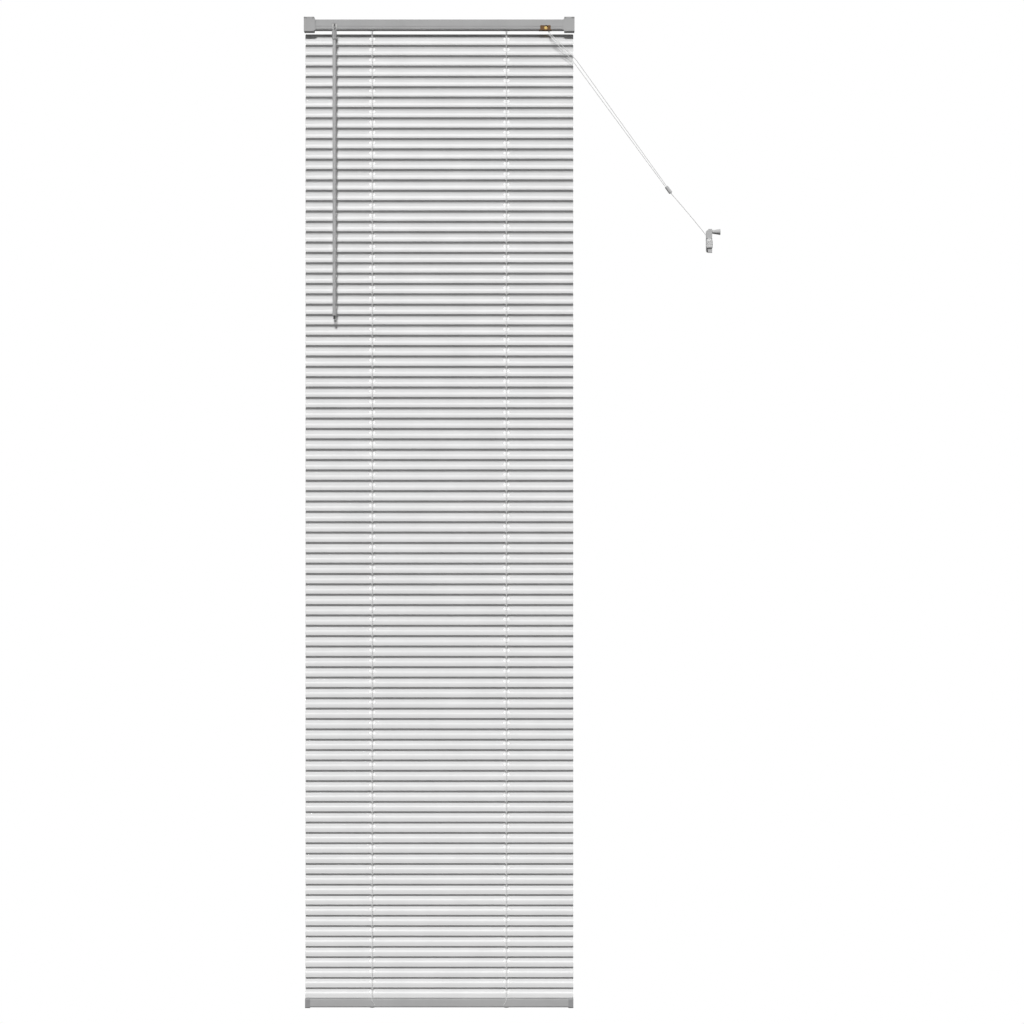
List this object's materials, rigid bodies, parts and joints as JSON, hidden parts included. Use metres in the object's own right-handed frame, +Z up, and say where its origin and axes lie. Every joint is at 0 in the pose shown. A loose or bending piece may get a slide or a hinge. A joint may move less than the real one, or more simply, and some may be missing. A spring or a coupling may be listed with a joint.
{
  "type": "venetian blind",
  "caption": "Aluminium venetian blind with a tilt wand, ladder strings, box brackets with front gates, a lift cord lock and a side cleat.",
  "frame": {"origin": "centre of the four ceiling screw holes, on the top plane of the two end brackets", "axes": "+X to the right seen from the room, +Y towards the wall, +Z up; the blind hangs down along -Z"},
  "size_m": [0.9245, 0.0393, 2.1982],
  "materials": {
    "rail_paint": "satin silver-grey paint",
    "slat_paint": "pale silver paint on aluminium, soft gloss",
    "grey_plastic": "moulded grey plastic",
    "white_plastic": "moulded white plastic",
    "light_plastic": "moulded pale grey plastic",
    "dark_plastic": "dark plastic button",
    "wand_plastic": "clear grey plastic, slightly see-through",
    "steel": "plated steel",
    "bronze": "bronze-brown plated pressing",
    "brass": "bare brass",
    "cord": "fine braided off-white cord"
  },
  "bodies": {
    "headrail_set": {"headrail": "rail_paint", "end_cap_left": "grey_plastic", "end_cap_right": "grey_plastic", "bracket_left": "rail_paint", "bracket_right": "rail_paint", "gate_pins": "steel", "drum_cradle_left": "white_plastic", "drum_cradle_right": "white_plastic", "tilter_housing": "white_plastic", "cord_lock_housing": "bronze", "lift_cord_runs": "cord", "lift_cord_drops": "cord", "ladder_strings_left": "cord", "ladder_strings_right": "cord", "pull_cord_front": "cord", "pull_cord_back": "cord", "cord_joiner": "light_plastic", "tail_cord": "cord", "cord_winding": "cord", "tassel_lead": "cord", "cord_tassel": "light_plastic", "cord_cleat": "light_plastic", "slats_19_to_43": "slat_paint", "slats_44_to_68": "slat_paint", "slats_69_to_93": "slat_paint"},
    "gate_left": {"gate_left": "rail_paint"},
    "gate_right": {"gate_right": "rail_paint"},
    "tilt_shaft": {"tilt_rod": "steel", "tilt_drum_left": "white_plastic", "tilt_drum_right": "white_plastic", "worm_wheel": "white_plastic"},
    "tilter_worm": {"tilter_worm": "steel"},
    "wand_sleeve": {"wand_sleeve": "wand_plastic"},
    "wand": {"wand": "wand_plastic", "wand_hook": "steel", "wand_tip": "dark_plastic"},
    "cord_lock_roller": {"cord_lock_roller": "brass"},
    "cord_lock_guide": {"cord_lock_guide": "steel"},
    "bottom_rail": {"bottom_rail": "rail_paint", "bottom_cap_left": "grey_plastic", "bottom_cap_right": "grey_plastic", "cord_buttons": "grey_plastic"},
    "slat_01": {"slat_01": "slat_paint"},
    "slat_02": {"slat_02": "slat_paint"},
    "slat_03": {"slat_03": "slat_paint"},
    "slat_04": {"slat_04": "slat_paint"},
    "slat_05": {"slat_05": "slat_paint"},
    "slat_06": {"slat_06": "slat_paint"},
    "slat_07": {"slat_07": "slat_paint"},
    "slat_08": {"slat_08": "slat_paint"},
    "slat_09": {"slat_09": "slat_paint"},
    "slat_10": {"slat_10": "slat_paint"},
    "slat_11": {"slat_11": "slat_paint"},
    "slat_12": {"slat_12": "slat_paint"},
    "slat_13": {"slat_13": "slat_paint"},
    "slat_14": {"slat_14": "slat_paint"},
    "slat_15": {"slat_15": "slat_paint"},
    "slat_16": {"slat_16": "slat_paint"},
    "slat_17": {"slat_17": "slat_paint"},
    "slat_18": {"slat_18": "slat_paint"}
  },
  "joints": [
    {"name": "tilt", "type": "hinge", "parent": "headrail_set", "child": "tilt_shaft", "pos_m": [0, 0, -0.018], "axis": [1, 0, 0], "range_deg": [-140, 0]},
    {"name": "worm_spin", "type": "hinge", "parent": "headrail_set", "child": "tilter_worm", "pos_m": [-0.232, -0.00566, -0.01234], "axis": [0, -0.7071, -0.7071], "range_deg": [0, 2520]},
    {"name": "wand_swing", "type": "hinge", "parent": "headrail_set", "child": "wand_sleeve", "pos_m": [-0.232, -0.0181, -0.02479], "axis": [-1, 0, 0], "range_deg": [0, 80]},
    {"name": "wand_spin", "type": "hinge", "parent": "wand_sleeve", "child": "wand", "pos_m": [-0.232, -0.0181, -0.02479], "axis": [0, 0, -1], "range_deg": [0, 2520]},
    {"name": "lift", "type": "slide", "parent": "headrail_set", "child": "bottom_rail", "axis": [0, 0, 1], "range_m": [0, 1.985], "deforming": ["slat_01", "slat_02", "slat_03", "slat_04", "slat_05", "slat_06", "slat_07", "slat_08", "slat_09", "slat_10", "slat_11", "slat_12", "slat_13", "slat_14", "slat_15", "slat_16", "slat_17", "slat_18", "slats_19_to_43", "slats_44_to_68", "slats_69_to_93", "ladder_strings_left", "ladder_strings_right", "lift_cord_drops"]},
    {"name": "gate_left_hinge", "type": "hinge", "parent": "headrail_set", "child": "gate_left", "pos_m": [-0.289, -0.0132, -0.0018], "axis": [-1, 0, 0], "range_deg": [0, 85]},
    {"name": "gate_right_hinge", "type": "hinge", "parent": "headrail_set", "child": "gate_right", "pos_m": [0.289, -0.0132, -0.0018], "axis": [-1, 0, 0], "range_deg": [0, 85]},
    {"name": "cord_lock", "type": "slide", "parent": "headrail_set", "child": "cord_lock_roller", "axis": [0.5, 0, 0.866], "range_m": [0, 0.0019]},
    {"name": "guide_spin", "type": "hinge", "parent": "headrail_set", "child": "cord_lock_guide", "pos_m": [0.2374, -0.002, -0.0146], "axis": [0, 1, 0], "continuous": true},
    {"name": "slat_01_tilt", "type": "hinge", "parent": "headrail_set", "child": "slat_01", "pos_m": [0, 0, -0.0478], "axis": [1, 0, 0], "range_deg": [-140, 0]},
    {"name": "slat_02_tilt", "type": "hinge", "parent": "headrail_set", "child": "slat_02", "pos_m": [0, 0, -0.0708], "axis": [1, 0, 0], "range_deg": [-140, 0]},
    {"name": "slat_03_tilt", "type": "hinge", "parent": "headrail_set", "child": "slat_03", "pos_m": [0, 0, -0.0938], "axis": [1, 0, 0], "range_deg": [-140, 0]},
    {"name": "slat_04_tilt", "type": "hinge", "parent": "headrail_set", "child": "slat_04", "pos_m": [0, 0, -0.1168], "axis": [1, 0, 0], "range_deg": [-140, 0]},
    {"name": "slat_05_tilt", "type": "hinge", "parent": "headrail_set", "child": "slat_05", "pos_m": [0, 0, -0.1398], "axis": [1, 0, 0], "range_deg": [-140, 0]},
    {"name": "slat_06_tilt", "type": "hinge", "parent": "headrail_set", "child": "slat_06", "pos_m": [0, 0, -0.1628], "axis": [1, 0, 0], "range_deg": [-140, 0]},
    {"name": "slat_07_tilt", "type": "hinge", "parent": "headrail_set", "child": "slat_07", "pos_m": [0, 0, -0.1858], "axis": [1, 0, 0], "range_deg": [-140, 0]},
    {"name": "slat_08_tilt", "type": "hinge", "parent": "headrail_set", "child": "slat_08", "pos_m": [0, 0, -0.2088], "axis": [1, 0, 0], "range_deg": [-140, 0]},
    {"name": "slat_09_tilt", "type": "hinge", "parent": "headrail_set", "child": "slat_09", "pos_m": [0, 0, -0.2318], "axis": [1, 0, 0], "range_deg": [-140, 0]},
    {"name": "slat_10_tilt", "type": "hinge", "parent": "headrail_set", "child": "slat_10", "pos_m": [0, 0, -0.2548], "axis": [1, 0, 0], "range_deg": [-140, 0]},
    {"name": "slat_11_tilt", "type": "hinge", "parent": "headrail_set", "child": "slat_11", "pos_m": [0, 0, -0.2778], "axis": [1, 0, 0], "range_deg": [-140, 0]},
    {"name": "slat_12_tilt", "type": "hinge", "parent": "headrail_set", "child": "slat_12", "pos_m": [0, 0, -0.3008], "axis": [1, 0, 0], "range_deg": [-140, 0]},
    {"name": "slat_13_tilt", "type": "hinge", "parent": "headrail_set", "child": "slat_13", "pos_m": [0, 0, -0.3238], "axis": [1, 0, 0], "range_deg": [-140, 0]},
    {"name": "slat_14_tilt", "type": "hinge", "parent": "headrail_set", "child": "slat_14", "pos_m": [0, 0, -0.3468], "axis": [1, 0, 0], "range_deg": [-140, 0]},
    {"name": "slat_15_tilt", "type": "hinge", "parent": "headrail_set", "child": "slat_15", "pos_m": [0, 0, -0.3698], "axis": [1, 0, 0], "range_deg": [-140, 0]},
    {"name": "slat_16_tilt", "type": "hinge", "parent": "headrail_set", "child": "slat_16", "pos_m": [0, 0, -0.3928], "axis": [1, 0, 0], "range_deg": [-140, 0]},
    {"name": "slat_17_tilt", "type": "hinge", "parent": "headrail_set", "child": "slat_17", "pos_m": [0, 0, -0.4158], "axis": [1, 0, 0], "range_deg": [-140, 0]},
    {"name": "slat_18_tilt", "type": "hinge", "parent": "headrail_set", "child": "slat_18", "pos_m": [0, 0, -0.4388], "axis": [1, 0, 0], "range_deg": [-140, 0]}
  ],
  "couplings": [
    {"joint": "worm_spin", "follows": "tilt", "ratio": -18},
    {"joint": "wand_spin", "follows": "tilt", "ratio": -18},
    {"joint": "slat_01_tilt", "follows": "tilt", "ratio": 1},
    {"joint": "slat_02_tilt", "follows": "tilt", "ratio": 1},
    {"joint": "slat_03_tilt", "follows": "tilt", "ratio": 1},
    {"joint": "slat_04_tilt", "follows": "tilt", "ratio": 1},
    {"joint": "slat_05_tilt", "follows": "tilt", "ratio": 1},
    {"joint": "slat_06_tilt", "follows": "tilt", "ratio": 1},
    {"joint": "slat_07_tilt", "follows": "tilt", "ratio": 1},
    {"joint": "slat_08_tilt", "follows": "tilt", "ratio": 1},
    {"joint": "slat_09_tilt", "follows": "tilt", "ratio": 1},
    {"joint": "slat_10_tilt", "follows": "tilt", "ratio": 1},
    {"joint": "slat_11_tilt", "follows": "tilt", "ratio": 1},
    {"joint": "slat_12_tilt", "follows": "tilt", "ratio": 1},
    {"joint": "slat_13_tilt", "follows": "tilt", "ratio": 1},
    {"joint": "slat_14_tilt", "follows": "tilt", "ratio": 1},
    {"joint": "slat_15_tilt", "follows": "tilt", "ratio": 1},
    {"joint": "slat_16_tilt", "follows": "tilt", "ratio": 1},
    {"joint": "slat_17_tilt", "follows": "tilt", "ratio": 1},
    {"joint": "slat_18_tilt", "follows": "tilt", "ratio": 1}
  ]
}
